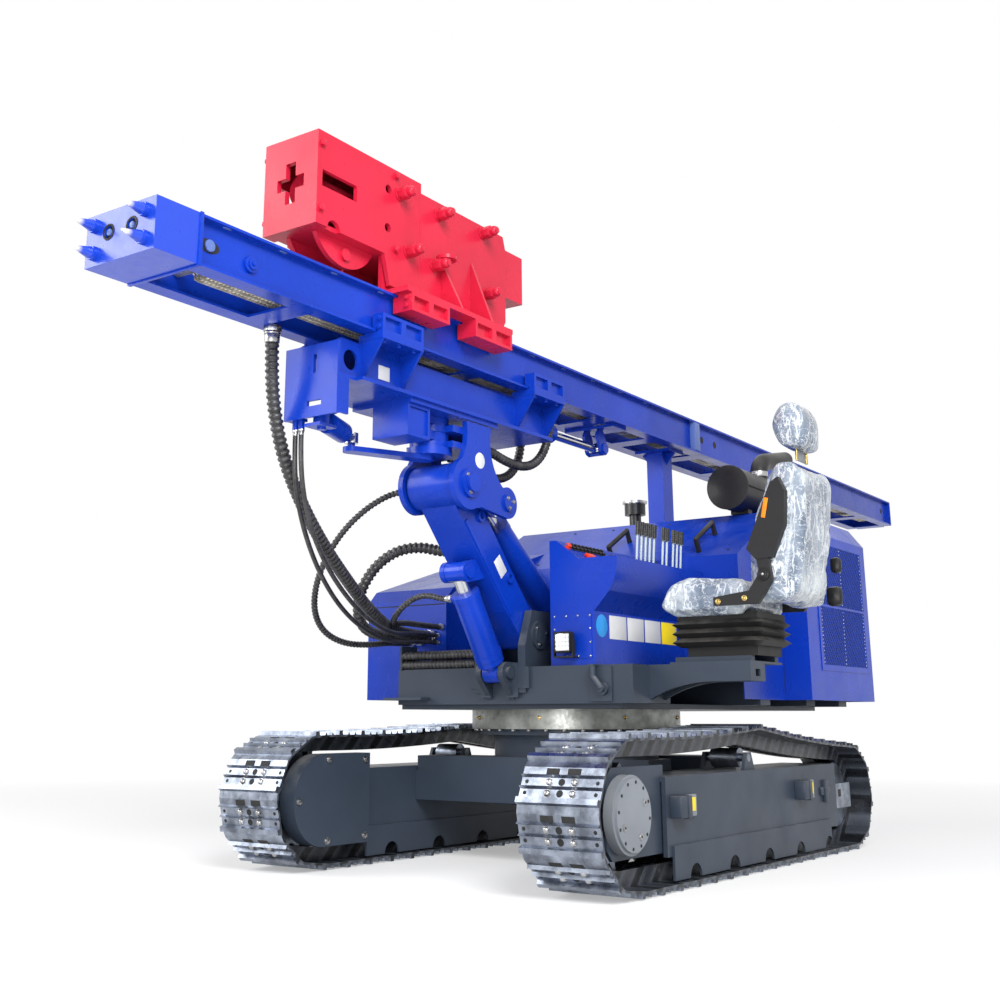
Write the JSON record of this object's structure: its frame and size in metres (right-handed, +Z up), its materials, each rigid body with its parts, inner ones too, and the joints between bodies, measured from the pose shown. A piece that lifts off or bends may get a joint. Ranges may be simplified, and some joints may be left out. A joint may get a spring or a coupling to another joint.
{
  "type": "pile driver rig",
  "caption": "Tracked pile driver rig: a short boom carries a tipping mast of two beams with a sliding hydraulic hammer, an open operator's seat with console, and an engine hood.",
  "frame": {"origin": "on the ground under the slewing axis", "axes": "+X forwards along the tracks and the mast, +Y to the machine's left (the seat's side), +Z up"},
  "size_m": [7.76, 2.39, 2.928],
  "materials": {
    "royal_blue_paint": "semi-gloss, dusty",
    "red_paint": "semi-gloss",
    "slate_paint": "satin, dusty",
    "black_paint": "satin",
    "grey_paint": "satin",
    "bare_steel": "worn",
    "track_steel": "worn bright on the ribs",
    "chromed_rod": "polished",
    "seat_vinyl": "matt grained",
    "black_plastic": "matt",
    "black_rubber": "matt"
  },
  "bodies": {
    "undercarriage": {"carbody": "slate_paint", "slew_race": "slate_paint", "track_left": "track_steel", "sprocket_left": "track_steel", "running_gear_left": "track_steel", "track_frame_left": "slate_paint", "drive_cover_left": "grey_paint", "motor_cover_left": "slate_paint", "track_right": "track_steel", "sprocket_right": "track_steel", "running_gear_right": "track_steel", "track_frame_right": "slate_paint", "drive_cover_right": "grey_paint", "motor_cover_right": "slate_paint"},
    "upper": {"slew_ring": "bare_steel", "deck": "slate_paint", "boom_bracket": "slate_paint", "hood": "royal_blue_paint", "engine": "grey_paint", "muffler": "black_paint", "pre_cleaner": "black_plastic", "mast_rest": "royal_blue_paint", "console": "royal_blue_paint", "control_levers": "black_plastic", "work_lamp": "black_plastic", "seat_bracket": "slate_paint", "seat_base": "black_rubber", "seat_cushion": "seat_vinyl", "seat_back": "seat_vinyl", "headrest": "seat_vinyl", "seat_recliner": "black_plastic", "grab_handles": "black_paint", "hose_mast": "black_rubber", "hose_cradle_a": "black_rubber", "hose_cradle_b": "black_rubber", "hose_head": "black_rubber", "hose_boom": "black_rubber", "hose_lift": "black_rubber", "hose_bundle": "black_rubber", "hose_rear_left": "black_rubber", "hose_rear_right": "black_rubber"},
    "boom": {"boom": "royal_blue_paint"},
    "lift_barrel": {"lift_cylinder_barrel": "royal_blue_paint"},
    "lift_rod": {"lift_cylinder_rod": "chromed_rod"},
    "tilt_barrel": {"tilt_cylinder_barrel": "royal_blue_paint"},
    "tilt_rod": {"tilt_cylinder_rod": "chromed_rod"},
    "head": {"head": "royal_blue_paint"},
    "cradle": {"cradle": "royal_blue_paint", "slide_cylinder_barrel": "royal_blue_paint"},
    "swing_barrel": {"swing_cylinder_barrel": "royal_blue_paint"},
    "swing_rod": {"swing_cylinder_rod": "chromed_rod"},
    "mast": {"mast": "royal_blue_paint", "slide_clevis": "royal_blue_paint", "mast_foot": "royal_blue_paint", "feed_chain": "bare_steel", "slide_cylinder_rod": "chromed_rod"},
    "hammer": {"hammer": "red_paint", "hammer_carriage": "red_paint"}
  },
  "joints": [
    {"name": "slew", "type": "hinge", "parent": "undercarriage", "child": "upper", "pos_m": [0, 0, 0.6], "axis": [0, 0, 1], "continuous": true},
    {"name": "boom_lift", "type": "hinge", "parent": "upper", "child": "boom", "pos_m": [0.55, 0, 1.02], "axis": [0, 1, 0], "range_deg": [-25, 0]},
    {"name": "lift_cylinder_swing", "type": "hinge", "parent": "upper", "child": "lift_barrel", "pos_m": [0.7, 0, 0.848], "axis": [0, 1, 0], "range_deg": [-20.8, 0]},
    {"name": "lift_cylinder_stroke", "type": "slide", "parent": "lift_barrel", "child": "lift_rod", "axis": [0.5591, 0, 0.8291], "range_m": [0, 0.09]},
    {"name": "mast_tip", "type": "hinge", "parent": "boom", "child": "head", "pos_m": [1.11, 0, 1.645], "axis": [0, 1, 0], "range_deg": [0, 115], "deforming": ["hose_mast", "hose_cradle_a", "hose_cradle_b", "hose_head", "hose_boom", "hose_lift", "hose_rear_left", "hose_rear_right"]},
    {"name": "tilt_cylinder_swing", "type": "hinge", "parent": "upper", "child": "tilt_barrel", "pos_m": [0.15, 0, 1.09], "axis": [0, 1, 0], "range_deg": [-22.6, 0]},
    {"name": "tilt_cylinder_stroke", "type": "slide", "parent": "tilt_barrel", "child": "tilt_rod", "axis": [0.793, 0, 0.6092], "range_m": [0, 0.361]},
    {"name": "side_swing", "type": "hinge", "parent": "head", "child": "cradle", "pos_m": [1.2, 0, 1.85], "axis": [0, 0, 1], "range_deg": [-8, 8]},
    {"name": "swing_cylinder_turn", "type": "hinge", "parent": "cradle", "child": "swing_barrel", "pos_m": [1.9, 0, 1.8], "axis": [0, 0, 1], "range_deg": [-6.2, 6.2]},
    {"name": "swing_cylinder_stroke", "type": "slide", "parent": "swing_barrel", "child": "swing_rod", "axis": [-0.9247, -0.3808, 0], "range_m": [-0.037, 0.037]},
    {"name": "mast_slide", "type": "slide", "parent": "cradle", "child": "mast", "axis": [1, 0, 0], "range_m": [-0.55, 0]},
    {"name": "hammer_slide", "type": "slide", "parent": "mast", "child": "hammer", "axis": [1, 0, 0], "range_m": [-4.8, 0.4]}
  ],
  "couplings": [
    {"joint": "boom_lift", "follows": "mast_tip", "ratio": -0.2173},
    {"joint": "lift_cylinder_swing", "follows": "mast_tip", "ratio": -0.1801},
    {"joint": "lift_cylinder_stroke", "follows": "mast_tip", "m_per_rad": 0.04454},
    {"joint": "tilt_cylinder_swing", "follows": "mast_tip", "ratio": -0.1958},
    {"joint": "tilt_cylinder_stroke", "follows": "mast_tip", "m_per_rad": 0.1794},
    {"joint": "swing_cylinder_turn", "follows": "side_swing", "ratio": 0.763},
    {"joint": "swing_cylinder_stroke", "follows": "side_swing", "m_per_rad": 0.262}
  ]
}
